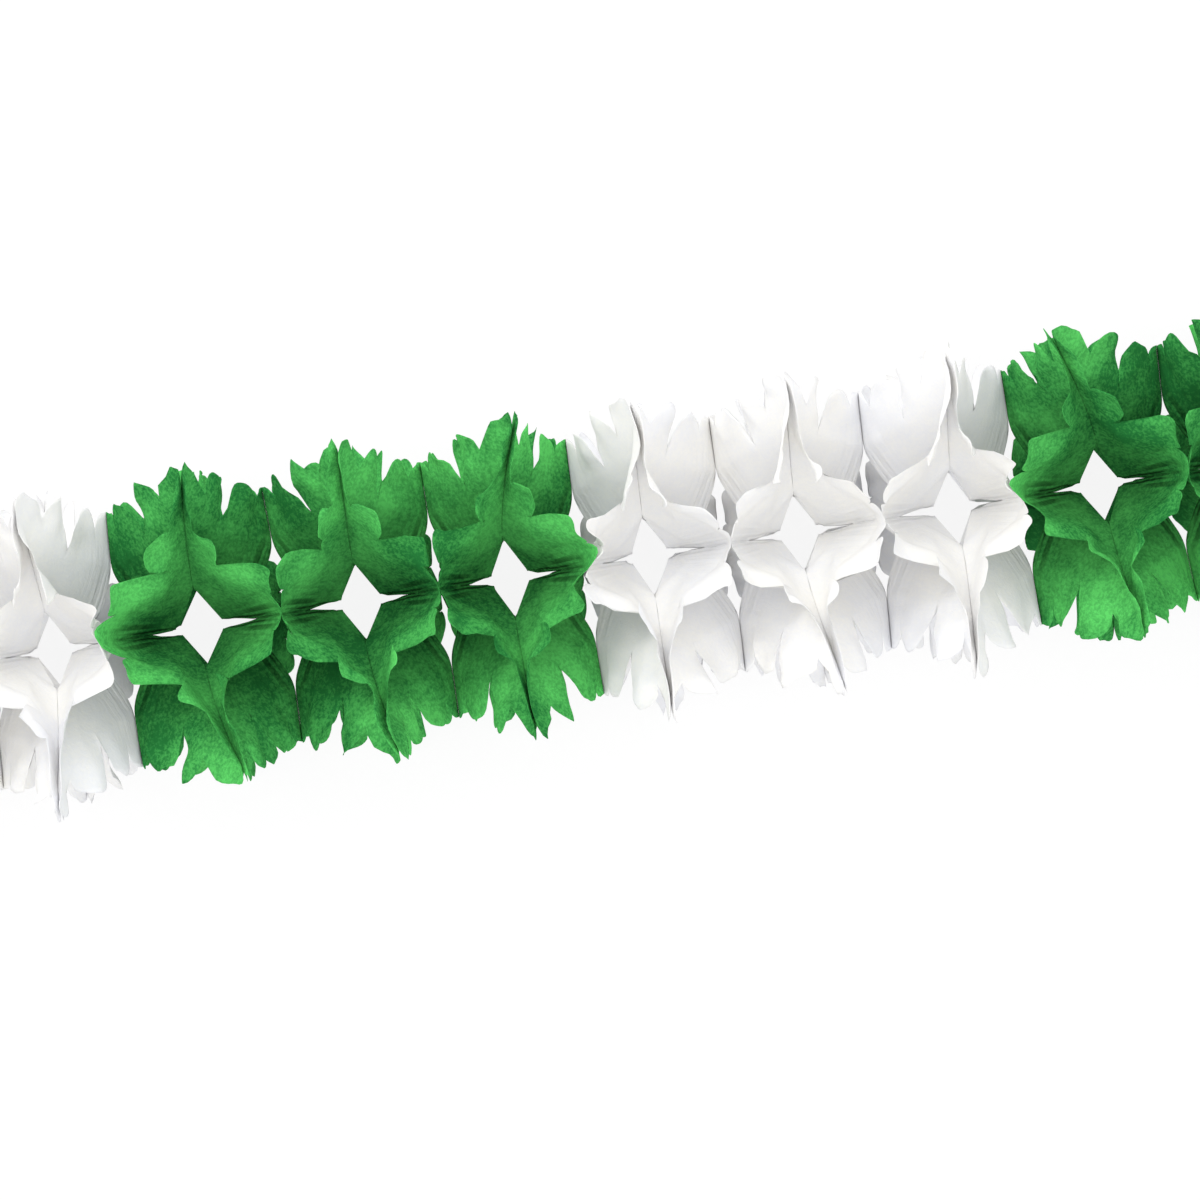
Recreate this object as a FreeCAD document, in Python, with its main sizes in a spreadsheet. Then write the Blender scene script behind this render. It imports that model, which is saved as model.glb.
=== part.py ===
import FreeCAD, Part
import Sketcher
import math
import os

# Stretched tissue garland: scalloped sheets, glued in turn along their
# diagonals (ridges) and along their mid-lines (valleys), drawn out into cells.
# Millimetres. X runs along the garland, Z is up, the origin is the middle of
# the box on the surface that the garland lies on.

SECTION_COLOURS = ("white", "green", "white", "green")
CELLS_PER_SECTION = 3
SHEETS_PER_CELL = 2

# Sizes on the flat sheet are measured from its centre: "reach" towards the
# middle of a side, "along" parallel to that side. Sizes on the drawn-out
# sheet are "depth" from the ridge plane and "height" from the garland's axis.
# A "flare" of 1 leaves a lobe on the straight line from valley to ridge, and
# more curls it towards the valley plane.
SIZES = {
    "cell_length": 113.0,
    "paper": 0.25,
    "glue_half_width": 3.0,
    "hole_radius": 26.0,
    "slit_reach": 62.0,
    "slit_end_depth": 43.0,
    "slit_end_height": 22.5,
    "slit_mouth_depth": 20.0,
    "slit_mouth_height": 4.0,
    "slit_mouth_gap": 2.0,
    "knee_depth": 15.0,
    "knee_height": 2.5,
    "ridge_glue_reach": 50.4,
    "ridge_glue_height": 30.0,
    "valley_glue_reach": 94.0,
    "valley_glue_height": 50.6,
    "side_lobe_reach": 140.0,
    "side_notch_along": 20.5,
    "side_notch_reach": 121.0,
    "middle_lobe_reach": 138.0,
    "middle_lobe_flare": 2.4,
    "middle_notch_along": 55.0,
    "middle_notch_reach": 103.0,
    "high_lobe_reach": 142.0,
    "high_lobe_flare": 1.4,
    "corner_notch_along": 88.0,
    "corner_notch_reach": 122.0,
    "corner_reach": 136.5,
    "card_radius": 75.0,
    "card_thickness": 1.0,
    "card_hole_diameter": 6.0,
}

# Stations across one eighth of the sheet, from the valley to the ridge. A ring
# is a list of stations with their points, and two rings are joined in step.
VALLEY = 0.0
VALLEY_STRIP = 1.0
SIDE_NOTCH = 2.0
MIDDLE_NOTCH = 3.0
CORNER_NOTCH = 4.0
RIDGE_STRIP = 5.0
RIDGE = 6.0

# Steps along each rounded lobe, how square its shoulders are, and the part of
# the valley glue's reach over which a lobe's flare grows to its full value.
LOBE_STEPS = 6
LOBE_ROUNDNESS = 0.6
LOBE_LENGTH_PART = 0.45


def make_sheet(doc):
    """Put every driving size in a spreadsheet cell that has its name."""
    sheet = doc.addObject("Spreadsheet::Sheet", "Sizes")
    for row, (name, value) in enumerate(SIZES.items(), start=1):
        sheet.set("A%d" % row, name)
        sheet.set("B%d" % row, str(value))
        sheet.setAlias("B%d" % row, name)
    doc.recompute()
    return sheet


def mix(first, second, share):
    """Point a share of the way from the first point to the second."""
    return tuple(a + (b - a) * share for a, b in zip(first, second))


class FoldedSheet:
    """One drawn-out sheet, from its ridge plane at X 0 to its valley plane."""

    def __init__(self, size):
        self.size = size
        self.depth = size.cell_length / 2.0 - size.paper

    def ridge_edge(self, reach):
        """Point beside the ridge, as (depth, out, along), for a flat reach."""
        size = self.size
        width = size.glue_half_width
        if reach < size.ridge_glue_reach - 1e-6:
            start = size.hole_radius / math.sqrt(2.0)
            share = (reach - start) / (size.ridge_glue_reach - start)
            knee = (size.knee_depth, size.knee_height, size.knee_height)
            bend = (0.0, size.ridge_glue_height, size.ridge_glue_height)
            return mix(knee, bend, share)
        height = size.ridge_glue_height + reach - size.ridge_glue_reach
        middle = height * math.sqrt(2.0) - width
        return (0.0, (middle + width) / math.sqrt(2.0), (middle - width) / math.sqrt(2.0))

    def valley_edge(self, reach):
        """Point beside the valley, as (depth, out, along), for a flat reach."""
        size = self.size
        mouth = (size.slit_mouth_depth, size.slit_mouth_height, size.slit_mouth_gap)
        slit_end = (size.slit_end_depth, size.slit_end_height, 0.0)
        if reach < size.slit_reach:
            share = (reach - size.hole_radius) / (size.slit_reach - size.hole_radius)
            return mix(mouth, slit_end, share)
        if reach < size.valley_glue_reach - 1e-6:
            bend = (self.depth, size.valley_glue_height, 0.0)
            share = (reach - size.slit_reach) / (size.valley_glue_reach - size.slit_reach)
            return mix(slit_end, bend, share)
        height = size.valley_glue_height + reach - size.valley_glue_reach
        return (self.depth, height, size.glue_half_width)

    def between(self, reach, share):
        """Point on the straight line from the valley edge to the ridge edge."""
        return mix(self.valley_edge(reach), self.ridge_edge(reach), share)

    def share_of(self, reach, along):
        """How far a flat point lies from the valley strip to the ridge strip."""
        width = self.size.glue_half_width
        span = reach - width * math.sqrt(2.0) - width
        return (along - width) / span

    def lobe(self, start, end, tip_reach):
        """Flat points of one rounded lobe after its start, with its end."""
        middle = (start[1] + end[1]) / 2.0
        half = (end[1] - start[1]) / 2.0
        points = []
        for step in range(1, LOBE_STEPS):
            angle = math.pi * step / LOBE_STEPS
            along = middle - half * math.cos(angle)
            base = start[0] + (end[0] - start[0]) * step / LOBE_STEPS
            rise = (tip_reach - base) * math.sin(angle) ** LOBE_ROUNDNESS
            points.append((base + rise, along))
        points.append(end)
        return points

    def across(self, reach, station, along, flare=1.0):
        """Ring entry at a station for the flat point at this reach and along."""
        share = self.share_of(reach, along)
        depth, out, beside = self.between(reach, share)
        outer_part = (reach - self.size.valley_glue_reach) / self.size.valley_glue_reach
        power = 1.0 + (flare - 1.0) * min(1.0, max(0.0, outer_part) / LOBE_LENGTH_PART)
        if 0.0 < share < 1.0:
            depth = self.depth * (1.0 - share**power)
        return (station, (depth, out, beside))

    def hole_ring(self):
        """Edge of the centre hole, from the slit's mouth to the ridge's knee."""
        mouth = self.valley_edge(self.size.hole_radius)
        knee = self.ridge_edge(self.size.hole_radius / math.sqrt(2.0))
        half_way = (VALLEY_STRIP + RIDGE_STRIP) / 2.0
        return [(VALLEY_STRIP, mouth), (half_way, mix(mouth, knee, 0.5)), (RIDGE_STRIP, knee)]

    def inner_ring(self, reach):
        """Line across the sheet between the hole and the valley's glue."""
        height = self.size.ridge_glue_height + reach - self.size.ridge_glue_reach
        half_way = (VALLEY_STRIP + RIDGE_STRIP) / 2.0
        ring = [(VALLEY_STRIP, self.between(reach, 0.0))]
        ring.append((half_way, self.between(reach, 0.5)))
        ring.append((RIDGE_STRIP, self.between(reach, 1.0)))
        ring.append((RIDGE, (0.0, height, height)))
        return ring

    def valley_glue_ring(self):
        """Line across the sheet where the valley's glue starts."""
        size = self.size
        reach = size.valley_glue_reach
        height = size.ridge_glue_height + reach - size.ridge_glue_reach
        ring = [(VALLEY, (self.depth, size.valley_glue_height, 0.0))]
        ring.append((VALLEY_STRIP, self.between(reach, 0.0)))
        ring.append(self.across(reach, SIDE_NOTCH, size.side_notch_along))
        beyond_notch = size.middle_notch_along + size.glue_half_width
        ring.append(self.across(reach, MIDDLE_NOTCH, beyond_notch))
        ring.append((CORNER_NOTCH, self.between(reach, 1.0)))
        ring.append((RIDGE, (0.0, height, height)))
        return ring

    def side_lobe_points(self):
        """Half of the lobe on the valley, from its tip to its notch."""
        size = self.size
        tip_height = size.valley_glue_height + size.side_lobe_reach - size.valley_glue_reach
        points = [(VALLEY, (self.depth, tip_height, 0.0))]
        strip_angle = math.acos(-size.glue_half_width / size.side_notch_along)
        rise = size.side_lobe_reach - size.side_notch_reach
        for angle in (strip_angle, math.pi * 0.75, math.pi * 0.9, math.pi):
            reach = size.side_notch_reach + rise * abs(math.sin(angle)) ** LOBE_ROUNDNESS
            along = -size.side_notch_along * math.cos(angle)
            station = VALLEY_STRIP if angle == strip_angle else SIDE_NOTCH
            points.append(self.across(reach, station, along))
        return points

    def corner_lobe_points(self):
        """Half of the narrow lobe on the ridge, from its notch to its tip."""
        size = self.size
        root = math.sqrt(2.0)
        start = (size.corner_notch_reach + size.corner_notch_along) / root
        half_width = (size.corner_notch_reach - size.corner_notch_along) / root
        rise = size.corner_reach * root - start
        strip_angle = math.acos(size.glue_half_width / half_width)
        points = []
        for angle in (strip_angle * 0.3, strip_angle * 0.65, strip_angle):
            radius = start + rise * math.sin(angle) ** LOBE_ROUNDNESS
            offset = half_width * math.cos(angle)
            points.append(self.across((radius + offset) / root, RIDGE_STRIP, (radius - offset) / root))
        tip = size.ridge_glue_height + size.corner_reach - size.ridge_glue_reach
        points.append((RIDGE, (0.0, tip, tip)))
        return points

    def outline_ring(self):
        """Scalloped outer edge, from the valley to the ridge."""
        size = self.size
        side_notch = (size.side_notch_reach, size.side_notch_along)
        middle_notch = (size.middle_notch_reach, size.middle_notch_along)
        corner_notch = (size.corner_notch_reach, size.corner_notch_along)
        ring = self.side_lobe_points()
        for reach, along in self.lobe(side_notch, middle_notch, size.middle_lobe_reach):
            ring.append(self.across(reach, MIDDLE_NOTCH, along, size.middle_lobe_flare))
        for reach, along in self.lobe(middle_notch, corner_notch, size.high_lobe_reach):
            ring.append(self.across(reach, CORNER_NOTCH, along, size.high_lobe_flare))
        return ring + self.corner_lobe_points()

    def sector_triangles(self):
        """Triangles of one eighth of the sheet, between a valley and a ridge."""
        rings = [
            self.hole_ring(),
            self.inner_ring(self.size.ridge_glue_reach),
            self.inner_ring(self.size.slit_reach),
            self.valley_glue_ring(),
            self.outline_ring(),
        ]
        triangles = []
        for inner, outer in zip(rings, rings[1:]):
            triangles += join_rings(inner, outer)
        return triangles

    def sheet_triangles(self):
        """Triangles of the whole sheet, with its eight sectors."""
        triangles = []
        for turn in range(4):
            for mirrored in (False, True):
                for triangle in self.sector_triangles():
                    corners = [place_in_section(point, turn, mirrored) for point in triangle]
                    if mirrored:
                        corners.reverse()
                    triangles.append(corners)
        return triangles

    def half_height(self):
        """Greatest height of the sheet over the garland's axis."""
        return max(max(point[1], point[2]) for station, point in self.outline_ring())

    def solid(self, side):
        """Closed solid of the sheet; side +1 opens to the right, -1 to the left."""
        lift = side * self.size.paper
        near = []
        for triangle in self.sheet_triangles():
            near.append([(side * x, y, z) for x, y, z in triangle])
        polygons = list(near)
        for triangle in near:
            far = [(x + lift, y, z) for x, y, z in triangle]
            polygons.append(far[::-1])
        for start, end in open_edges(near):
            start_far = (start[0] + lift, start[1], start[2])
            end_far = (end[0] + lift, end[1], end[2])
            polygons.append([start, start_far, end_far, end])
        return solid_of(polygons)


def join_rings(inner, outer):
    """Fill the band between two rings with triangles, advancing on both."""
    triangles = []
    i = 0
    o = 0
    while i < len(inner) - 1 or o < len(outer) - 1:
        inner_done = i == len(inner) - 1
        outer_done = o == len(outer) - 1
        if inner_done or (not outer_done and outer[o + 1][0] <= inner[i + 1][0]):
            triangles.append((inner[i][1], outer[o][1], outer[o + 1][1]))
            o += 1
        else:
            triangles.append((inner[i][1], outer[o][1], inner[i + 1][1]))
            i += 1
    return triangles


def place_in_section(point, turn, mirrored):
    """Turn a sector's point (depth, out, along) into its place (X, Y, Z)."""
    depth, out, along = point
    if mirrored:
        along = -along
    for quarter in range(turn):
        out, along = -along, out
    return (round(depth, 5), round(out, 5), round(along, 5))


def open_edges(triangles):
    """Edges that only one triangle has, in the direction that it has them."""
    edges = {}
    for triangle in triangles:
        for index in range(3):
            edge = (triangle[index], triangle[(index + 1) % 3])
            edges[edge] = True
    return [edge for edge in edges if (edge[1], edge[0]) not in edges]


def solid_of(polygons):
    """Sew flat polygons into one closed solid."""
    faces = []
    for polygon in polygons:
        corners = [FreeCAD.Vector(*point) for point in polygon]
        faces.append(Part.Face(Part.makePolygon(corners + corners[:1])))
    shell = Part.Shell(faces)
    shell.sewShape()
    solid = Part.Solid(shell)
    if solid.Volume < 0:
        solid.reverse()
    return solid.removeSplitter()


def add_tissue(doc, label, shape, x, z):
    """One tissue sheet as an object of the document, at its place."""
    piece = doc.addObject("Part::Feature", label)
    piece.Label = label
    piece.Shape = shape
    piece.Placement = FreeCAD.Placement(FreeCAD.Vector(x, 0.0, z), FreeCAD.Rotation())
    return piece


def origin_plane(body, role):
    """Origin plane of a body, found by its role."""
    for feature in body.Origin.OriginFeatures:
        if feature.Role == role:
            return feature
    raise ValueError("no plane " + role)


def add_card(doc, label):
    """Round end card: a padded disc with a round hanging hole."""
    body = doc.addObject("PartDesign::Body", label)
    body.Label = label
    disc = body.newObject("Sketcher::SketchObject", label + "_disc")
    disc.AttachmentSupport = (origin_plane(body, "YZ_Plane"), [""])
    disc.MapMode = "FlatFace"
    disc.addGeometry(Part.Circle(FreeCAD.Vector(), FreeCAD.Vector(0, 0, 1), 75.0))
    disc.addConstraint(Sketcher.Constraint("Coincident", 0, 3, -1, 1))
    radius = disc.addConstraint(Sketcher.Constraint("Radius", 0, 75.0))
    disc.setExpression("Constraints[%d]" % radius, "Sizes.card_radius")
    pad = body.newObject("PartDesign::Pad", label + "_pad")
    pad.Profile = disc
    pad.setExpression("Length", "Sizes.card_thickness")
    doc.recompute()
    hole_sketch = body.newObject("Sketcher::SketchObject", label + "_hole_sketch")
    hole_sketch.AttachmentSupport = (origin_plane(body, "YZ_Plane"), [""])
    hole_sketch.MapMode = "FlatFace"
    hole_sketch.addGeometry(Part.Circle(FreeCAD.Vector(), FreeCAD.Vector(0, 0, 1), 3.0))
    hole_sketch.addConstraint(Sketcher.Constraint("Coincident", 0, 3, -1, 1))
    diameter = hole_sketch.addConstraint(Sketcher.Constraint("Diameter", 0, 6.0))
    hole_sketch.setExpression("Constraints[%d]" % diameter, "Sizes.card_hole_diameter")
    pocket = body.newObject("PartDesign::Pocket", label + "_hole")
    pocket.Profile = hole_sketch
    pocket.Type = "ThroughAll"
    pocket.Midplane = True
    doc.recompute()
    body.Tip = pocket
    return body


def check(doc):
    """Stop if an object is in error or a shape is empty or not valid."""
    for item in doc.Objects:
        if "Invalid" in item.State or "Error" in item.State:
            raise RuntimeError("object in error: " + item.Label)
        shape = getattr(item, "Shape", None)
        if shape is None or item.TypeId in ("App::Plane", "App::Line", "App::Point"):
            continue
        if shape.isNull() or not shape.isValid():
            raise RuntimeError("bad shape: " + item.Label)


def main():
    doc = FreeCAD.newDocument("tissue_garland")
    size = make_sheet(doc)
    folded = FoldedSheet(size)
    axis_height = folded.half_height()
    opens_right = folded.solid(1)
    opens_left = folded.solid(-1)

    pieces = []
    cells = len(SECTION_COLOURS) * CELLS_PER_SECTION
    for cell in range(cells):
        colour = SECTION_COLOURS[cell // CELLS_PER_SECTION]
        ridge_x = (cell - (cells - 1) / 2.0) * size.cell_length
        for half, shape in enumerate((opens_left, opens_right)):
            label = "sheet_%02d_%s" % (cell * SHEETS_PER_CELL + half + 1, colour)
            pieces.append(add_tissue(doc, label, shape, ridge_x, axis_height))

    end_x = cells / 2.0 * size.cell_length
    for label, side, angle in (("end_card_left", -1, 180.0), ("end_card_right", 1, 0.0)):
        card = add_card(doc, label)
        turn = FreeCAD.Rotation(FreeCAD.Vector(0, 0, 1), angle)
        card.Placement = FreeCAD.Placement(FreeCAD.Vector(side * end_x, 0.0, axis_height), turn)
        pieces.append(card)

    doc.recompute()
    check(doc)
    os.makedirs("parts", exist_ok=True)
    for piece in pieces:
        piece.Shape.exportStep("parts/%s.step" % piece.Label)
    print("axis height %.2f mm, %d nodes" % (axis_height, len(pieces)))
    print("faces per sheet %d, volume %.1f" % (len(opens_right.Faces), opens_right.Volume))


main()
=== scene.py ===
"""Tissue garland: die-cut sheets glued into star-shaped cells, drawn out and laid on a pale floor.

Every size is in metres. X runs along the garland, Y is up in the picture and Z points at the camera.
A sheet is cut flat, so each point of it has a flat place: "reach" is its distance from the sheet's
centre towards the middle of a side, and "along" is its distance from that mid-line. The drawn-out
sheet hangs between two planes: its ridge, where it is glued along the diagonals, and its valley,
where it is glued along the mid-lines.
"""
import math

import bpy
import numpy as np
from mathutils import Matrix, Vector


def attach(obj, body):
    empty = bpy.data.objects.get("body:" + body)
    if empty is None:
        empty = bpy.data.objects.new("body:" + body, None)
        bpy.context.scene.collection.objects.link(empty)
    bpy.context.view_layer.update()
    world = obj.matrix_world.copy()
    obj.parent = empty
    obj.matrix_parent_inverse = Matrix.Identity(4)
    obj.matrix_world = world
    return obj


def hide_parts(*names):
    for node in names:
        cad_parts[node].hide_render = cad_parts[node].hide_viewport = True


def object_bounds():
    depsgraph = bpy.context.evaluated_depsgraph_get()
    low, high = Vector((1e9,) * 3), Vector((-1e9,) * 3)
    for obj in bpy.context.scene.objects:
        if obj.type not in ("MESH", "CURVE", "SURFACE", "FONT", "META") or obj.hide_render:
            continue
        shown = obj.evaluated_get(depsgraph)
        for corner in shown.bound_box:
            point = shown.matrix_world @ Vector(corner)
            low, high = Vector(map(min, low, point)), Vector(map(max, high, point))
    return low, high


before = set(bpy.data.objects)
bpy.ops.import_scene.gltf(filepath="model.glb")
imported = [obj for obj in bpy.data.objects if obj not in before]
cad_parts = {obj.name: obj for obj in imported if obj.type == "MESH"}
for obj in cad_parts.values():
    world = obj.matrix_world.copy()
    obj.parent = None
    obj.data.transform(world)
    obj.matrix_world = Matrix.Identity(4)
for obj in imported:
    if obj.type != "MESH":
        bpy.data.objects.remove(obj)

bl_info = {
    "name": "Tissue Garland",
    "version": (1, 0, 0),
    "blender": (4, 5, 0),
    "location": "View3D > Sidebar > Garland",
    "description": "Makes a drawn-out tissue paper garland from its packed frame",
    "category": "Add Mesh",
}

CAD_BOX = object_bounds()

# The row of cells.
SECTION_COLOURS = ("white", "green", "white", "green")
CELLS_PER_SECTION = 3
CELLS = len(SECTION_COLOURS) * CELLS_PER_SECTION
CELL_LENGTH = 0.113
AXIS_HEIGHT = (CAD_BOX[0][2] + CAD_BOX[1][2]) / 2.0

# The die-cut sheet, flat.
HOLE_RADIUS = 0.026
RIDGE_GLUE_REACH = 0.0504
VALLEY_GLUE_REACH = 0.094
SIDE_LOBE_REACH = 0.140
SIDE_NOTCH = (0.121, 0.0205)
MIDDLE_LOBE_REACH = 0.138
MIDDLE_NOTCH = (0.103, 0.055)
HIGH_LOBE_REACH = 0.142
CORNER_NOTCH = (0.122, 0.088)
CORNER_NOTCH_FOOT = 0.075
CORNER_REACH = 0.1365
LOBE_ROUNDNESS = 0.6

# The sheet drawn out: depth from the ridge plane, height from the garland's axis.
SHEET_DEPTH = CELL_LENGTH / 2.0
GLUE_HALF_WIDTH = 0.0028
GLUE_START = 0.004
VALLEY_PATH_REACH = (0.010, 0.026, 0.062, 0.094, 0.160)
VALLEY_PATH_DEPTH = (0.010, 0.020, 0.043, 0.0565, 0.0565)
VALLEY_PATH_HEIGHT = (-0.004, 0.004, 0.0225, 0.0506, 0.1166)
RIDGE_PATH_REACH = (0.0184, 0.0504, 0.160)
RIDGE_PATH_DEPTH = (0.015, 0.0, 0.0)
RIDGE_PATH_HEIGHT = (0.0025, 0.030, 0.1396)
SLIT_GAP = 0.0022
SHEET_CLEARANCE = 0.00008

# Columns across one eighth of the sheet for each part of its outline, and rows
# from the hole to the notches and from there to the outline.
LOBE_COLUMNS = (6, 14, 13, 9)
SECTOR_COLUMNS = sum(LOBE_COLUMNS)
RING_COLUMNS = 8 * SECTOR_COLUMNS
INNER_ROWS = 16
OUTER_ROWS = 12
ROWS = INNER_ROWS + OUTER_ROWS + 1
SLIT_ROWS = 8

# How far each ridge and valley stands from its even place, by its number from the left end.
RIDGE_SHIFT = {
    2: -0.0055, 3: -0.0065, 4: 0.001, 5: 0.001, 6: -0.0065, 7: -0.0055, 8: -0.0005, 9: -0.003,
}
VALLEY_SHIFT = {
    3: -0.0105, 4: -0.001, 5: 0.0045, 6: 0.001, 7: -0.003, 8: -0.004, 9: -0.0065, 10: -0.003,
}

# How far the tip of a front ridge leans along the garland, (upper, lower), by ridge number.
RIDGE_LEAN = {
    2: (-0.002, -0.006),
    3: (0.009, 0.022),
    4: (0.005, 0.016),
    5: (0.024, 0.004),
    6: (0.004, -0.002),
    7: (0.004, 0.013),
    8: (0.006, -0.008),
    9: (-0.028, 0.006),
}

# How far the front pinch leans along the garland, and how much more it leans per metre upwards, by
# valley number.
PINCH_LEAN = {
    3: (-0.011, -0.35),
    4: (0.003, 0.10),
    5: (0.002, -0.15),
    6: (0.006, 1.00),
    7: (0.001, 0.10),
    8: (0.003, -0.20),
    9: (-0.007, -0.70),
    10: (0.003, 0.15),
}

# White sheets have longer, narrower corner tips at the lower front ridge.
LONG_TIP = 0.007

# Curl of the lobes as powers of the depth's share: at the lobe's root, on the side lobe, at the middle
# lobe's far corner, on the high lobe, at the corner notch and on the corner lobe. Above 1 a lobe curls
# to the valley, below 1 to the ridge. The last number draws the lobes in towards the mid-line.
UPPER_FRONT_CURL = (0.58, 1.30, 2.20, 0.78, 0.45, 0.34, 0.05)
LOWER_FRONT_CURL = (0.50, 1.20, 2.00, 0.62, 0.30, 0.22, 0.24)
WHITE_UPPER_FRONT_CURL = (0.60, 1.25, 1.50, 0.55, 0.34, 0.28, 0.30)
TOP_CURL = (1.00, 1.15, 1.20, 1.20, 0.95, 0.70, 0.0)
BACK_CURL = (1.00, 1.50, 2.40, 1.30, 0.95, 0.70, 0.0)
CURL_SPREAD = (0.08, 0.10, 0.25, 0.22, 0.10, 0.15, 0.04)
NARROW_CORNER = 0.24

# Where a curl changes along the sheet: its root value is reached at the waist, its tip value beyond.
CURL_ROOT = (0.050, 0.094)
CURL_TIP = (0.098, 0.138)

# A slit's two edges stand apart by a seeded share of the gap, which closes over a seeded length.
GAP_SHARE = (0.25, 1.9)
GAP_LENGTH = (0.012, 0.032)
SLIT_CURL = 0.05

# Waves of the free tissue, as shares of the depth, and of its cut edge, in metres.
RIPPLE = 0.020
FLUTTER = 0.018
EDGE_OUT = 0.0022
EDGE_BESIDE = 0.0018

# Seeded spreads of a corner: lean, twist in radians, and how much longer its tip is.
CORNER_LEAN = (-0.008, 0.008)
CORNER_TWIST = (-0.35, 0.35)
CORNER_LONGER = (-0.004, 0.002)
CORNER_SPLAY = (0.0005, 0.006)

# The lowest tips lie flat on the floor at this height.
LOWEST_TIP = 0.0004

# The picture's width and height in pixels.
IMAGE_SIZE = 1200


def blend(first, second, share):
    """The point that lies that share of the way from the first to the second."""
    return first + (second - first) * share


def smooth_step(low, high, value):
    """0 below low, 1 above high, and 3x^2 - 2x^3 of the way x between them."""
    part = np.clip((value - low) / (high - low), 0.0, 1.0)
    return part * part * (3.0 - 2.0 * part)


def rounded_path(reach, knots, values, radius=0.009):
    """Straight runs through the knots, averaged over a window of that radius so that bends are round."""
    offsets = np.linspace(-radius, radius, 9)
    total = sum(np.interp(reach + offset, knots, values) for offset in offsets)
    return total / len(offsets)


def side_lobe(u):
    """Half an arch from the valley to the side notch: reach rises as sin(a)^0.6, along as -cos(a)."""
    angle = math.pi / 2.0 * (1.0 + u)
    rise = SIDE_LOBE_REACH - SIDE_NOTCH[0]
    reach = SIDE_NOTCH[0] + rise * np.abs(np.sin(angle)) ** LOBE_ROUNDNESS
    return reach, -SIDE_NOTCH[1] * np.cos(angle), SIDE_NOTCH[1] * u


def arch_lobe(u, start, end, tip_reach, slant):
    """Arch from notch to notch: reach rises by sin(a)^0.6, along goes as -cos(a), or evenly by the slant."""
    angle = math.pi * u
    base = blend(start[0], end[0], u)
    reach = base + (tip_reach - base) * np.abs(np.sin(angle)) ** LOBE_ROUNDNESS
    even = blend(start[1], end[1], u)
    arched = blend(start[1], end[1], (1.0 - np.cos(angle)) / 2.0)
    return reach, blend(arched, even, slant * u)


def corner_lobe(u):
    """Half an arch about the diagonal: radius rises as sin(a)^0.6 and the offset falls as cos(a)."""
    angle = math.pi / 2.0 * u
    root = math.sqrt(2.0)
    start = sum(CORNER_NOTCH) / root
    half_width = (CORNER_NOTCH[0] - CORNER_NOTCH[1]) / root
    radius = start + (CORNER_REACH * root - start) * np.sin(angle) ** LOBE_ROUNDNESS
    offset = half_width * np.cos(angle)
    foot = blend(CORNER_NOTCH_FOOT, VALLEY_GLUE_REACH, u)
    return (radius + offset) / root, (radius - offset) / root, foot


def sector_outline():
    """Outline (reach, along), the waist's along below it, and the lobe's number and share, to the ridge."""
    counts = LOBE_COLUMNS
    parts = []
    u = np.arange(counts[0]) / counts[0]
    reach, along, foot = side_lobe(u)
    parts.append((reach, along, foot, u))
    u = np.arange(counts[1]) / counts[1]
    reach, along = arch_lobe(u, SIDE_NOTCH, MIDDLE_NOTCH, MIDDLE_LOBE_REACH, 0.0)
    parts.append((reach, along, blend(SIDE_NOTCH[1], MIDDLE_NOTCH[1], u), 1.0 + u))
    u = np.arange(counts[2]) / counts[2]
    reach, along = arch_lobe(u, MIDDLE_NOTCH, CORNER_NOTCH, HIGH_LOBE_REACH, 0.0)
    parts.append((reach, along, blend(MIDDLE_NOTCH[1], CORNER_NOTCH_FOOT, u), 2.0 + u))
    u = np.arange(counts[3] + 1) / counts[3]
    reach, along, foot = corner_lobe(u)
    parts.append((reach, along, foot, 3.0 + u))
    return [np.concatenate(column) for column in zip(*parts)]


def flat_sector():
    """Grid of flat places: straight lines from the hole's circle to the waist, then on to the outline."""
    out_reach, out_along, foot, lobe = sector_outline()
    waist_reach = np.full_like(foot, VALLEY_GLUE_REACH)
    angle = np.arctan2(foot, waist_reach)
    inner = np.linspace(0.0, 1.0, INNER_ROWS + 1)[None, :]
    outer = np.linspace(0.0, 1.0, OUTER_ROWS + 1)[None, 1:]
    reach_in = blend(HOLE_RADIUS * np.cos(angle)[:, None], waist_reach[:, None], inner)
    along_in = blend(HOLE_RADIUS * np.sin(angle)[:, None], foot[:, None], inner)
    reach_out = blend(waist_reach[:, None], out_reach[:, None], outer)
    along_out = blend(foot[:, None], out_along[:, None], outer)
    reach = np.concatenate([reach_in, reach_out], axis=1)
    along = np.concatenate([along_in, along_out], axis=1)
    beyond = np.concatenate([np.zeros_like(reach_in), np.broadcast_to(outer, reach_out.shape)], axis=1)
    return reach, along, beyond, np.broadcast_to(lobe[:, None], reach.shape)


def ring_of_sectors():
    """Flat places of the whole sheet, eight sectors round, and each column's mid-line and side of it."""
    reach, along, beyond, lobe = flat_sector()
    order = []
    axis = []
    sign = []
    for turn in range(4):
        order += list(range(SECTOR_COLUMNS)) + list(range(SECTOR_COLUMNS, 0, -1))
        axis += [turn] * SECTOR_COLUMNS + [(turn + 1) % 4] * SECTOR_COLUMNS
        sign += [1.0] * SECTOR_COLUMNS + [-1.0] * SECTOR_COLUMNS
    columns = np.array(order + [0] * 4)
    axis = np.array(axis + list(range(4)))
    sign = np.array(sign + [-1.0] * 4)
    return [part[columns] for part in (reach, along, beyond, lobe)] + [axis, sign]


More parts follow.
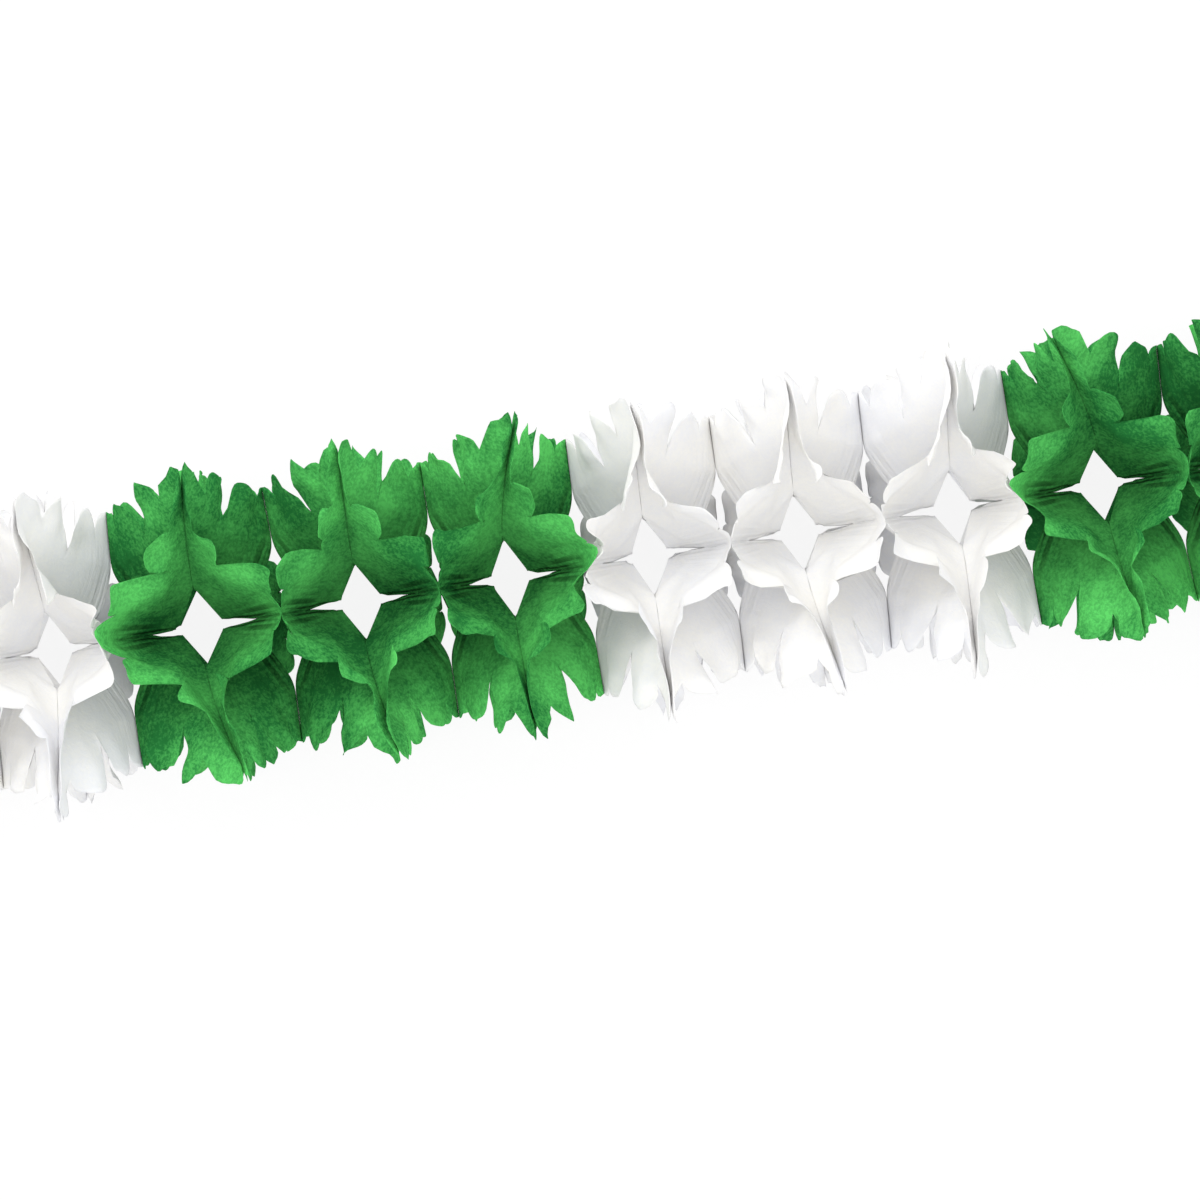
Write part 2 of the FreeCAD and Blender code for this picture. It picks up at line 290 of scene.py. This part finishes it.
def sheet_faces(flip):
    """Quads between neighbouring columns; the far side of each slit has vertices of its own."""
    right = np.arange(RING_COLUMNS * ROWS).reshape(RING_COLUMNS, ROWS)
    left = right.copy()
    for turn in range(4):
        column = 2 * SECTOR_COLUMNS * turn
        extra = (RING_COLUMNS + turn) * ROWS + np.arange(SLIT_ROWS)
        left[column, :SLIT_ROWS] = extra
    after = np.roll(left, -1, axis=0)
    quads = np.stack([right[:, :-1], after[:, :-1], after[:, 1:], right[:, 1:]], axis=-1)
    quads = quads.reshape(-1, 4)
    return quads[:, ::-1] if flip else quads


def drawn_out(reach, along, curl, draw_in, gap, gap_length):
    """Share of the depth, out, beside and share between the paths for each flat place, drawn out.

    Valley and ridge are two paths. A point between their glue strips lies on the straight line from
    one to the other, and its depth follows share^curl, which bends a lobe to the valley or the ridge.
    Drawn in, a lobe lies nearer to the mid-line and stands further out. A slit's edge stands off its
    mid-line by the gap's share, which falls to nothing over the gap's length."""
    root = math.sqrt(2.0)
    near_valley = smooth_step(VALLEY_GLUE_REACH - GLUE_START, VALLEY_GLUE_REACH + GLUE_START, reach)
    near_ridge = smooth_step(RIDGE_GLUE_REACH - GLUE_START, RIDGE_GLUE_REACH + GLUE_START, reach)
    valley_width = GLUE_HALF_WIDTH * near_valley
    ridge_width = GLUE_HALF_WIDTH * near_ridge
    valley_depth = rounded_path(reach, VALLEY_PATH_REACH, VALLEY_PATH_DEPTH)
    valley_height = rounded_path(reach, VALLEY_PATH_REACH, VALLEY_PATH_HEIGHT)
    ridge_depth = rounded_path(reach, RIDGE_PATH_REACH, RIDGE_PATH_DEPTH, 0.004)
    ridge_height = rounded_path(reach, RIDGE_PATH_REACH, RIDGE_PATH_HEIGHT, 0.004)
    span = reach - root * ridge_width - valley_width
    share = np.clip((along - valley_width) / span, 0.0, 1.0)
    out = blend(valley_height, ridge_height, share)
    beside = blend(valley_width, ridge_height - root * ridge_width, share)
    beside = np.where(along < valley_width, along, beside)
    beside = beside + np.maximum(0.0, along - (reach - root * ridge_width))
    slit = gap * np.clip(1.0 - (reach - HOLE_RADIUS) / gap_length, 0.0, 1.0) ** 0.8
    beside = beside + SLIT_GAP * slit * (1.0 - share) ** 4
    loose = draw_in * smooth_step(0.090, 0.130, reach) * (1.0 - smooth_step(0.60, 0.92, share))
    out = out + 0.35 * loose * beside
    beside = beside * (1.0 - loose)
    depth = blend(valley_depth, ridge_depth, share**curl) / SHEET_DEPTH
    return depth, out, beside, share


def waves(rng, reach, along, count, shortest, longest):
    """Sum of sines with seeded directions, lengths and phases, scaled to about one."""
    total = np.zeros_like(reach)
    for _ in range(count):
        direction = rng.uniform(0.0, math.pi)
        length = rng.uniform(shortest, longest)
        phase = rng.uniform(0.0, 2.0 * math.pi)
        path = reach * math.cos(direction) + along * math.sin(direction)
        total += np.sin(2.0 * math.pi * path / length + phase)
    return total / math.sqrt(count)


def valley_sway(valley, y, z):
    """Lean of a valley's free lobes along X: it grows with the height beyond the glue's start, and
    fades as a bell to both sides of the mid-line."""
    rng = np.random.default_rng(90 + valley)
    sway = np.zeros_like(y)
    for turn in range(4):
        lean = rng.uniform(-0.003, 0.003)
        twist = rng.uniform(-0.15, 0.15)
        if turn == 1 and valley in PINCH_LEAN:
            lean, twist = PINCH_LEAN[valley]
        height = y * math.cos(turn * math.pi / 2.0) + z * math.sin(turn * math.pi / 2.0)
        across = -y * math.sin(turn * math.pi / 2.0) + z * math.cos(turn * math.pi / 2.0)
        rise = np.clip((height - 0.05) / 0.047, 0.0, 1.1)
        sway += (lean - twist * across) * rise**1.3 * np.exp(-((across / 0.0185) ** 4))
    return sway


def ridge_x(ridge):
    """Even place of a ridge plane, with its own shift."""
    return (ridge - (CELLS - 1) / 2.0) * CELL_LENGTH + RIDGE_SHIFT.get(ridge, 0.0)


def valley_x(valley):
    """Even place of a valley plane, with its own shift."""
    return (valley - CELLS / 2.0) * CELL_LENGTH + VALLEY_SHIFT.get(valley, 0.0)


def sector_curl(rng, turn, side, narrow, colour):
    """Curl numbers of one sector, with a seeded spread."""
    if turn == 1 and side < 0.0 and colour == "white":
        base = WHITE_UPPER_FRONT_CURL
    elif turn == 1:
        base = LOWER_FRONT_CURL if side > 0.0 else UPPER_FRONT_CURL
    else:
        base = BACK_CURL if turn == 3 else TOP_CURL
    values = np.array(base) + np.array(CURL_SPREAD) * rng.uniform(-1.0, 1.0, len(base))
    if narrow:
        values[4] = NARROW_CORNER * 1.6
        values[5] = NARROW_CORNER
    return values


def curl_fields(number, lobe, reach, axis, sign, colour):
    """Power of the depth's share, and draw-in, for every flat place.

    Round the outline the power runs evenly from lobe to lobe. Along the sheet it goes by smooth steps
    from 1 near the slit to its root value at the waist and to its outline value at the tips."""
    rng = np.random.default_rng(700 + number)
    power = np.ones_like(reach)
    draw_in = np.zeros_like(reach)
    stations = (0.0, 1.0, 1.55, 1.97, 2.03, 2.6, 3.0, 3.5, 4.0)
    for turn in range(4):
        for side in (-1.0, 1.0):
            narrow = colour == "white" and (turn, side) in ((1, 1.0), (2, -1.0))
            root, low, middle, high, notch, corner, drawn = sector_curl(rng, turn, side, narrow, colour)
            tip_values = (low, low, middle, middle, 0.62 * high, high, notch, corner, corner)
            root_values = (1.0, 1.0, root, root, root, root, blend(root, notch, 0.5), notch, corner)
            tips = np.interp(lobe, stations, tip_values)
            roots = np.interp(lobe, stations, root_values)
            whole = blend(roots, tips, smooth_step(*CURL_TIP, reach))
            whole = blend(1.0, whole, smooth_step(*CURL_ROOT, reach))
            here = (axis == turn) & (sign == side)
            power[here] = whole[here]
            draw_in[here] = drawn
    return power, draw_in


def twist_corner(y, z, x, turn, angle, longer, lean, splay):
    """Turns the corner tip about its diagonal by the angle, draws it out, leans it and splays it along X."""
    along_y, along_z = ((1, 1), (-1, 1), (-1, -1), (1, -1))[turn]
    root = math.sqrt(2.0)
    radius = (y * along_y + z * along_z) / root
    offset = (z * along_y - y * along_z) / root
    beside = np.exp(-((offset / 0.045) ** 2)) * (radius > 0.0)
    rise = np.clip((radius - 0.045) / 0.12, 0.0, 1.2)
    tip = smooth_step(0.118, 0.150, radius) * beside
    turned = angle * tip
    new_offset = offset * np.cos(turned)
    new_radius = radius + longer * tip**2
    x = x + lean * rise**1.4 * beside + offset * np.sin(turned)
    x = x + splay * smooth_step(0.145, 0.172, radius) ** 2 * beside
    y = (new_radius * along_y - new_offset * along_z) / root
    z = (new_radius * along_z + new_offset * along_y) / root
    return y, z, x


def sheet_vertices(number, colour):
    """Vertices of one sheet: its drawn-out form between the leaning ridge and valley of its own cell."""
    cell, half = divmod(number, 2)
    side = 1.0 if half else -1.0
    valley = cell + half
    reach, along, beyond, lobe, axis, sign = ring_of_sectors()
    axis = np.broadcast_to(axis[:, None], reach.shape)
    sign = np.broadcast_to(sign[:, None], reach.shape)
    rng = np.random.default_rng(300 + number)
    power, draw_in = curl_fields(number, lobe, reach, axis, sign, colour)
    gaps = rng.uniform(*GAP_SHARE, (4, 2))
    gap_lengths = rng.uniform(*GAP_LENGTH, (4, 2))
    curls = rng.uniform(-SLIT_CURL, SLIT_CURL, (4, 2))
    part = (sign > 0.0).astype(int)
    depth, out, beside, share = drawn_out(
        reach, along, power, draw_in, gaps[axis, part], gap_lengths[axis, part]
    )
    slit_edge = np.clip((0.058 - reach) / 0.030, 0.0, 1.0) * (1.0 - share) ** 5
    depth = depth + curls[axis, part] * slit_edge

    signed_along = along * sign
    edge = beyond**1.5 * np.minimum(1.0, along / 0.012)
    out = out + edge * EDGE_OUT * waves(rng, reach + axis * 0.17, signed_along, 4, 0.018, 0.045)
    beside = beside + edge * EDGE_BESIDE * waves(rng, reach + axis * 0.71, signed_along, 4, 0.018, 0.045)
    free = 4.0 * share * (1.0 - share)
    ripple = waves(rng, reach + axis * 0.31, signed_along, 5, 0.050, 0.12) * RIPPLE
    flutter = waves(rng, reach + axis * 0.53, signed_along, 6, 0.022, 0.05) * FLUTTER
    depth = depth + free * (ripple * (1.0 + beyond) + flutter * (0.3 + 1.2 * beyond))
    depth = np.clip(depth, 0.0, 1.0)

    angle = axis * math.pi / 2.0
    y = out * np.cos(angle) - sign * beside * np.sin(angle)
    z = out * np.sin(angle) + sign * beside * np.cos(angle)

    ridge_rng = np.random.default_rng(40 + cell)
    leans = list(ridge_rng.uniform(*CORNER_LEAN, 4))
    twists = list(ridge_rng.uniform(*CORNER_TWIST, 4))
    longer = list(ridge_rng.uniform(*CORNER_LONGER, 4))
    if cell in RIDGE_LEAN:
        leans[0], leans[1] = RIDGE_LEAN[cell]
        leans[3] = 0.6 * leans[0] + 0.4 * leans[3]
        leans[2] = 0.6 * leans[1] + 0.4 * leans[2]
    if colour == "white":
        longer[1] = LONG_TIP
        twists[1] *= 0.3
    ridge_plane = np.zeros_like(y)
    for turn in range(4):
        splay = side * rng.uniform(*CORNER_SPLAY)
        y, z, ridge_plane = twist_corner(
            y, z, ridge_plane, turn, twists[turn], longer[turn], leans[turn], splay
        )

    valley_plane = valley_sway(valley, y, z)

    ridge_plane += ridge_x(cell)
    valley_plane += valley_x(valley)
    x = blend(ridge_plane, valley_plane, depth) + side * SHEET_CLEARANCE * (1.0 - 2.0 * depth)
    z = np.maximum(z + AXIS_HEIGHT, LOWEST_TIP)
    return np.stack([x, y, z], axis=-1), signed_along, reach, axis


def make_sheet(settings, number, colour, material):
    """One die-cut sheet as a closed thin shell that stands for its CAD node."""
    vertices, across, reach, axis = sheet_vertices(number, colour)
    flip = number % 2 == 1
    faces = sheet_faces(flip)
    name = "sheet_%02d_%s" % (number + 1, colour)
    mesh = bpy.data.meshes.new(name + "_tissue")
    flat = vertices.reshape(-1, 3)
    used = np.unique(faces)
    index = np.full(len(flat), -1)
    index[used] = np.arange(len(used))
    mesh.from_pydata(flat[used], [], index[faces].tolist())
    mesh.update()
    angle = axis * math.pi / 2.0
    flat_y = reach * np.cos(angle) - across * np.sin(angle)
    flat_z = reach * np.sin(angle) + across * np.cos(angle)
    places = np.stack([flat_y, flat_z], axis=-1).reshape(-1, 2)[used]
    corners = np.empty(len(mesh.loops), dtype=np.int32)
    mesh.loops.foreach_get("vertex_index", corners)
    layer = mesh.uv_layers.new(name="flat_sheet")
    layer.data.foreach_set("uv", (places[corners] * 2.0 + 0.5).ravel())
    mesh.polygons.foreach_set("use_smooth", np.ones(len(mesh.polygons), dtype=bool))
    mesh.set_sharp_from_angle(angle=math.radians(38.0))
    mesh.materials.append(material)
    piece = bpy.data.objects.new(name + "_tissue", mesh)
    bpy.context.scene.collection.objects.link(piece)
    shell = piece.modifiers.new("thickness", "SOLIDIFY")
    shell.thickness = settings.tissue_thickness
    shell.offset = 0.0
    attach(piece, "root")
    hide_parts(name)
    return piece


def group_socket(group, name, kind, direction, default=None):
    """A named input or output of a node group, with its default."""
    socket = group.interface.new_socket(name=name, in_out=direction, socket_type=kind)
    if default is not None:
        socket.default_value = default
    return socket


def noise_node(tree, scale, detail, roughness=0.5):
    """Noise texture with its scale, detail and roughness."""
    noise = tree.nodes.new("ShaderNodeTexNoise")
    noise.inputs["Scale"].default_value = scale
    noise.inputs["Detail"].default_value = detail
    noise.inputs["Roughness"].default_value = roughness
    return noise


def range_node(tree, value, from_min, from_max, to_min=0.0, to_max=1.0):
    """Map range of a value from one span to another, clamped; gives its output."""
    node = tree.nodes.new("ShaderNodeMapRange")
    node.inputs["From Min"].default_value = from_min
    node.inputs["From Max"].default_value = from_max
    node.inputs["To Min"].default_value = to_min
    node.inputs["To Max"].default_value = to_max
    tree.links.new(value, node.inputs["Value"])
    return node.outputs["Result"]


def math_node(tree, operation, *values, clamp=False):
    """Math node on sockets and plain numbers, in their order; gives its output."""
    node = tree.nodes.new("ShaderNodeMath")
    node.operation = operation
    node.use_clamp = clamp
    for index, value in enumerate(values):
        if isinstance(value, float):
            node.inputs[index].default_value = value
        else:
            tree.links.new(value, node.inputs[index])
    return node.outputs["Value"]


def tissue_group():
    """Node group: fibres and cloudy mottling between two colours, and a height for crumples and fibres.

    The sheet's own map gives the reach of a point, the greater of its two distances from the centre.
    The colour is darkened round the centre as painted shade, where the folds crowd together, and keeps its
    full value at the loose tips.
    Beside each mid-line, inside the glue, it has streaks drawn out along the reach for the pinch's wrinkle
    lines: they give a height, and they darken the colour as painted shade."""
    group = bpy.data.node_groups.new("tissue_fibres", "ShaderNodeTree")
    group_socket(group, "Light Colour", "NodeSocketColor", "INPUT")
    group_socket(group, "Dark Colour", "NodeSocketColor", "INPUT")
    group_socket(group, "Painted Centre Shade", "NodeSocketFloat", "INPUT", 0.8)
    group_socket(group, "Painted Wrinkle Shade", "NodeSocketFloat", "INPUT", 0.3)
    group_socket(group, "Colour", "NodeSocketColor", "OUTPUT")
    group_socket(group, "Height", "NodeSocketFloat", "OUTPUT")
    nodes = group.nodes
    links = group.links
    inputs = nodes.new("NodeGroupInput")
    outputs = nodes.new("NodeGroupOutput")
    place = nodes.new("ShaderNodeTexCoord")

    cloud = noise_node(group, 24.0, 4.0, 0.66)
    fibre = noise_node(group, 380.0, 2.0, 0.7)
    patch = noise_node(group, 8.0, 0.0)
    for noise in (cloud, fibre, patch):
        links.new(place.outputs["Object"], noise.inputs["Vector"])
    clouds = math_node(group, "MULTIPLY", range_node(group, cloud.outputs["Fac"], 0.34, 0.64), 0.62)
    fibres = range_node(group, fibre.outputs["Fac"], 0.40, 0.60)
    mottling = math_node(group, "MULTIPLY_ADD", fibres, 0.38, clouds)
    patches = range_node(group, patch.outputs["Fac"], 0.35, 0.65, -0.22, 0.34)
    dense = math_node(group, "ADD", mottling, patches, clamp=True)

    mix = nodes.new("ShaderNodeMix")
    mix.data_type = "RGBA"
    links.new(dense, mix.inputs["Factor"])
    links.new(inputs.outputs["Light Colour"], mix.inputs["A"])
    links.new(inputs.outputs["Dark Colour"], mix.inputs["B"])

    centred = nodes.new("ShaderNodeVectorMath")
    centred.operation = "SUBTRACT"
    centred.inputs[1].default_value = (0.5, 0.5, 0.0)
    links.new(place.outputs["UV"], centred.inputs[0])
    size = nodes.new("ShaderNodeVectorMath")
    size.operation = "ABSOLUTE"
    links.new(centred.outputs["Vector"], size.inputs[0])
    sides = nodes.new("ShaderNodeSeparateXYZ")
    links.new(size.outputs["Vector"], sides.inputs["Vector"])
    reach = math_node(group, "MAXIMUM", sides.outputs["X"], sides.outputs["Y"])
    # Painted shade: the colour falls to the centre shade round the centre and rises to its full value
    # towards the tips.
    tone = nodes.new("ShaderNodeMapRange")
    tone.interpolation_type = "SMOOTHSTEP"
    tone.inputs["From Min"].default_value = 0.08
    tone.inputs["From Max"].default_value = 0.25
    tone.inputs["To Max"].default_value = 1.0
    links.new(reach, tone.inputs["Value"])
    links.new(inputs.outputs["Painted Centre Shade"], tone.inputs["To Min"])

    across = math_node(group, "MINIMUM", sides.outputs["X"], sides.outputs["Y"])
    stretched = nodes.new("ShaderNodeCombineXYZ")
    links.new(reach, stretched.inputs["X"])
    links.new(across, stretched.inputs["Y"])
    drawn = nodes.new("ShaderNodeVectorMath")
    drawn.operation = "MULTIPLY"
    drawn.inputs[1].default_value = (9.0, 95.0, 1.0)
    links.new(stretched.outputs["Vector"], drawn.inputs[0])
    streaks = noise_node(group, 1.0, 2.0)
    streaks.noise_dimensions = "2D"
    links.new(drawn.outputs["Vector"], streaks.inputs["Vector"])
    wrinkle = range_node(group, streaks.outputs["Fac"], 0.40, 0.62)
    slope = math_node(group, "DIVIDE", across, reach)
    beside_line = range_node(group, slope, 0.0, 0.40, 1.0, 0.0)
    inside = range_node(group, reach, 0.17, 0.25, 1.0, 0.0)
    wrinkled = math_node(group, "MULTIPLY", wrinkle, math_node(group, "MULTIPLY", beside_line, inside))
    # Painted shade in the pinch's wrinkle lines: the streak mask darkens the colour by the wrinkle shade
    # amount.
    shade = math_node(group, "MULTIPLY", wrinkled, inputs.outputs["Painted Wrinkle Shade"])
    darker = math_node(group, "SUBTRACT", tone.outputs["Result"], shade, clamp=True)
    toned = nodes.new("ShaderNodeVectorMath")
    toned.operation = "SCALE"
    links.new(mix.outputs["Result"], toned.inputs[0])
    links.new(darker, toned.inputs["Scale"])
    links.new(toned.outputs["Vector"], outputs.inputs["Colour"])

    crumple = math_node(group, "MULTIPLY", cloud.outputs["Fac"], 1.6)
    height = math_node(group, "MULTIPLY_ADD", fibre.outputs["Fac"], 0.3, crumple)
    folded = math_node(group, "MULTIPLY_ADD", wrinkled, -0.9, height)
    links.new(folded, outputs.inputs["Height"])
    return group


def tissue_material(name, light, dark, centre_shade, wrinkle_shade, dulled, settings):
    """Tissue: matt paper with fibres and fine creases, and painted shade round the centre and in the pinch's
    wrinkle lines.

    The light it throws on its neighbours is dulled towards grey by that share, as thin sheets let part
    of the daylight through to them."""
    material = bpy.data.materials.new(name)
    material.use_nodes = True
    nodes = material.node_tree.nodes
    links = material.node_tree.links
    shader = nodes["Principled BSDF"]
    shader.inputs["Roughness"].default_value = 0.95
    shader.inputs["Specular IOR Level"].default_value = 0.0
    group = bpy.data.node_groups.get("tissue_fibres") or tissue_group()
    fibres = nodes.new("ShaderNodeGroup")
    fibres.node_tree = group
    fibres.inputs["Light Colour"].default_value = (*light, 1.0)
    fibres.inputs["Dark Colour"].default_value = (*dark, 1.0)
    # Painted shade: a darker colour round the centre and in the pinch's wrinkle lines.
    fibres.inputs["Painted Centre Shade"].default_value = centre_shade
    fibres.inputs["Painted Wrinkle Shade"].default_value = wrinkle_shade
    path = nodes.new("ShaderNodeLightPath")
    dull = math_node(material.node_tree, "MULTIPLY", path.outputs["Is Diffuse Ray"], dulled)
    thrown = nodes.new("ShaderNodeMix")
    thrown.data_type = "RGBA"
    thrown.inputs["B"].default_value = (0.62, 0.62, 0.64, 1.0)
    links.new(dull, thrown.inputs["Factor"])
    links.new(fibres.outputs["Colour"], thrown.inputs["A"])
    links.new(thrown.outputs["Result"], shader.inputs["Base Color"])
    bump = nodes.new("ShaderNodeBump")
    bump.inputs["Strength"].default_value = 0.55
    bump.inputs["Distance"].default_value = settings.crinkle_depth
    links.new(fibres.outputs["Height"], bump.inputs["Height"])
    links.new(bump.outputs["Normal"], shader.inputs["Normal"])
    return material


def card_material():
    """Plain white board: fine grain in the surface and a slightly uneven tone."""
    material = bpy.data.materials.new("end_card_board")
    material.use_nodes = True
    nodes = material.node_tree.nodes
    links = material.node_tree.links
    shader = nodes["Principled BSDF"]
    shader.inputs["Roughness"].default_value = 0.7
    place = nodes.new("ShaderNodeTexCoord")
    grain = noise_node(material.node_tree, 420.0, 6.0)
    links.new(place.outputs["Object"], grain.inputs["Vector"])
    tone = nodes.new("ShaderNodeMix")
    tone.data_type = "RGBA"
    tone.inputs["A"].default_value = (0.74, 0.72, 0.67, 1.0)
    tone.inputs["B"].default_value = (0.83, 0.82, 0.78, 1.0)
    links.new(grain.outputs["Fac"], tone.inputs["Factor"])
    links.new(tone.outputs["Result"], shader.inputs["Base Color"])
    bump = nodes.new("ShaderNodeBump")
    bump.inputs["Strength"].default_value = 0.2
    bump.inputs["Distance"].default_value = 0.0003
    links.new(grain.outputs["Fac"], bump.inputs["Height"])
    links.new(bump.outputs["Normal"], shader.inputs["Normal"])
    return material


def floor_material():
    """Near-white floor that keeps the garland's shadow and is seen as white where it is lit."""
    material = bpy.data.materials.new("white_floor")
    material.use_nodes = True
    tree = material.node_tree
    nodes = tree.nodes
    links = tree.links
    shader = nodes["Principled BSDF"]
    shader.inputs["Roughness"].default_value = 0.9
    shader.inputs["Specular IOR Level"].default_value = 0.1
    shader.inputs["Emission Color"].default_value = (1.0, 1.0, 1.0, 1.0)
    path = nodes.new("ShaderNodeLightPath")
    seen = path.outputs["Is Camera Ray"]
    for ray in ("Is Glossy Ray", "Is Transmission Ray"):
        seen = math_node(tree, "MAXIMUM", seen, path.outputs[ray])
    links.new(math_node(tree, "MULTIPLY", seen, 0.885), shader.inputs["Emission Strength"])
    own = nodes.new("ShaderNodeMix")
    own.data_type = "RGBA"
    own.inputs["A"].default_value = (0.93, 0.93, 0.93, 1.0)
    own.inputs["B"].default_value = (0.13, 0.13, 0.13, 1.0)
    links.new(seen, own.inputs["Factor"])
    links.new(own.outputs["Result"], shader.inputs["Base Color"])
    return material


def make_floor():
    """Flat floor at Z 0, wide enough for every view."""
    mesh = bpy.data.meshes.new("floor")
    far = 6.0
    corners = [(-far, -far, 0.0), (far, -far, 0.0), (far, far, 0.0), (-far, far, 0.0)]
    mesh.from_pydata(corners, [], [(0, 1, 2, 3)])
    mesh.materials.append(floor_material())
    floor = bpy.data.objects.new("floor", mesh)
    bpy.context.scene.collection.objects.link(floor)
    return floor


def add_lamp(name, place, size, power):
    """Square area lamp at a place, aimed at the garland's middle."""
    data = bpy.data.lights.new(name, "AREA")
    data.shape = "SQUARE"
    data.size = size
    data.energy = power
    lamp = bpy.data.objects.new(name, data)
    lamp.location = place
    target = np.array([0.0, 0.0, AXIS_HEIGHT]) - np.array(place)
    lamp.rotation_euler = (
        math.atan2(math.hypot(target[0], target[1]), -target[2]),
        0.0,
        math.atan2(target[1], target[0]) - math.pi / 2.0,
    )
    bpy.context.scene.collection.objects.link(lamp)
    return lamp


def make_camera(settings):
    """Camera straight above the garland, rolled so that it rises to the right as it does in the picture."""
    data = bpy.data.cameras.new("camera")
    data.sensor_width = 36.0
    data.lens = 36.0 * settings.camera_distance / settings.picture_width
    data.clip_end = 50.0
    camera = bpy.data.objects.new("camera", data)
    pixel = settings.picture_width / IMAGE_SIZE
    right = settings.axis_right_pixels * pixel
    down = settings.axis_down_pixels * pixel
    camera.location = (right, -down, AXIS_HEIGHT + settings.camera_distance)
    camera.rotation_euler = (0.0, 0.0, -settings.axis_tilt)
    bpy.context.scene.collection.objects.link(camera)
    bpy.context.scene.camera = camera
    return camera


class GarlandSettings(bpy.types.PropertyGroup):
    """Sizes and colours that a user would change."""

    tissue_thickness: bpy.props.FloatProperty(
        name="Tissue Thickness", description="Thickness of one sheet", default=0.00012, unit="LENGTH"
    )
    crinkle_depth: bpy.props.FloatProperty(
        name="Crinkle Depth", description="Depth of the fine creases", default=0.0012, unit="LENGTH"
    )
    green_light: bpy.props.FloatVectorProperty(
        name="Green, Thin", description="Green tissue where it is thin", default=(0.120, 0.640, 0.140),
        subtype="COLOR",
    )
    green_dark: bpy.props.FloatVectorProperty(
        name="Green, Dense", description="Green tissue where its fibres lie close",
        default=(0.022, 0.200, 0.045), subtype="COLOR",
    )
    white_light: bpy.props.FloatVectorProperty(
        name="White, Thin", description="White tissue where it is thin", default=(0.945, 0.935, 0.905),
        subtype="COLOR",
    )
    white_dark: bpy.props.FloatVectorProperty(
        name="White, Dense", description="White tissue where its fibres lie close",
        default=(0.885, 0.890, 0.915), subtype="COLOR",
    )
    picture_width: bpy.props.FloatProperty(
        name="Picture Width", description="Width of the garland's plane that the picture shows", default=0.9,
        unit="LENGTH",
    )
    camera_distance: bpy.props.FloatProperty(
        name="Camera Distance", description="From the garland's axis to the camera", default=5.0,
        unit="LENGTH",
    )
    axis_tilt: bpy.props.FloatProperty(
        name="Axis Tilt", description="How far the garland rises to the right in the picture",
        default=math.radians(9.0), subtype="ANGLE",
    )
    axis_right_pixels: bpy.props.FloatProperty(
        name="Right Of Middle",
        description="Picture centre, right of the garland's middle, in picture pixels",
        default=12.0,
    )
    axis_down_pixels: bpy.props.FloatProperty(
        name="Below Axis", description="Picture centre, below the garland's axis, in picture pixels",
        default=35.5,
    )


class GARLAND_OT_white_sheets(bpy.types.Operator):
    """Make the white tissue sheets"""

    bl_idname = "garland.white_sheets"
    bl_label = "White Sheets"

    def execute(self, context):
        make_sheets(context.scene.garland, "white")
        return {"FINISHED"}


class GARLAND_OT_green_sheets(bpy.types.Operator):
    """Make the green tissue sheets"""

    bl_idname = "garland.green_sheets"
    bl_label = "Green Sheets"

    def execute(self, context):
        make_sheets(context.scene.garland, "green")
        return {"FINISHED"}


class GARLAND_OT_end_cards(bpy.types.Operator):
    """Finish the end cards as plain board"""

    bl_idname = "garland.end_cards"
    bl_label = "End Cards"

    def execute(self, context):
        material = card_material()
        for name in ("end_card_left", "end_card_right"):
            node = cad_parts.get(name)
            if node is None:
                raise RuntimeError("the frame has no node " + name)
            node.material_slots[0].material = material
        return {"FINISHED"}


class GARLAND_OT_stage(bpy.types.Operator):
    """Make the floor, the soft light and the camera"""

    bl_idname = "garland.stage"
    bl_label = "Stage"

    def execute(self, context):
        scene = context.scene
        scene.view_settings.view_transform = "Standard"
        make_floor()
        world = bpy.data.worlds.new("soft_world")
        world.use_nodes = True
        world.node_tree.nodes["Background"].inputs["Color"].default_value = (1.0, 1.0, 1.0, 1.0)
        world.node_tree.nodes["Background"].inputs["Strength"].default_value = 1.08
        scene.world = world
        add_lamp("key_lamp", (-0.9, 1.5, 2.4), 0.8, 17.0)
        add_lamp("fill_lamp", (0.8, 0.2, 3.0), 2.0, 8.0)
        make_camera(scene.garland)
        return {"FINISHED"}


class GARLAND_PT_panel(bpy.types.Panel):
    """Lists the garland's sizes and steps"""

    bl_label = "Garland"
    bl_idname = "GARLAND_PT_panel"
    bl_space_type = "VIEW_3D"
    bl_region_type = "UI"
    bl_category = "Garland"

    def draw(self, context):
        settings = context.scene.garland
        for name in settings.bl_rna.properties.keys():
            if name not in ("rna_type", "name"):
                self.layout.prop(settings, name)
        for operator in OPERATORS:
            self.layout.operator(operator.bl_idname)


OPERATORS = (GARLAND_OT_white_sheets, GARLAND_OT_green_sheets, GARLAND_OT_end_cards, GARLAND_OT_stage)
CLASSES = (GarlandSettings, *OPERATORS, GARLAND_PT_panel)


def make_sheets(settings, colour):
    """Every sheet of one colour, from the left end to the right."""
    # The third and fourth numbers are painted shade: how dark the colour gets round the centre, and how much
    # the pinch's wrinkle lines darken it.
    if colour == "green":
        material = tissue_material(
            "green_tissue_paper", settings.green_light, settings.green_dark, 0.52, 0.55, 0.7, settings
        )
    else:
        material = tissue_material(
            "white_tissue_paper", settings.white_light, settings.white_dark, 0.97, 0.06, 0.0, settings
        )
    for number in range(2 * CELLS):
        if SECTION_COLOURS[number // 2 // CELLS_PER_SECTION] == colour:
            make_sheet(settings, number, colour, material)


def register():
    for item in CLASSES:
        bpy.utils.register_class(item)
    bpy.types.Scene.garland = bpy.props.PointerProperty(type=GarlandSettings)


def unregister():
    del bpy.types.Scene.garland
    for item in reversed(CLASSES):
        bpy.utils.unregister_class(item)


def main():
    register()
    bpy.ops.garland.stage()
    bpy.ops.garland.white_sheets()
    bpy.ops.garland.green_sheets()
    bpy.ops.garland.end_cards()


if __name__ == "__main__":
    main()
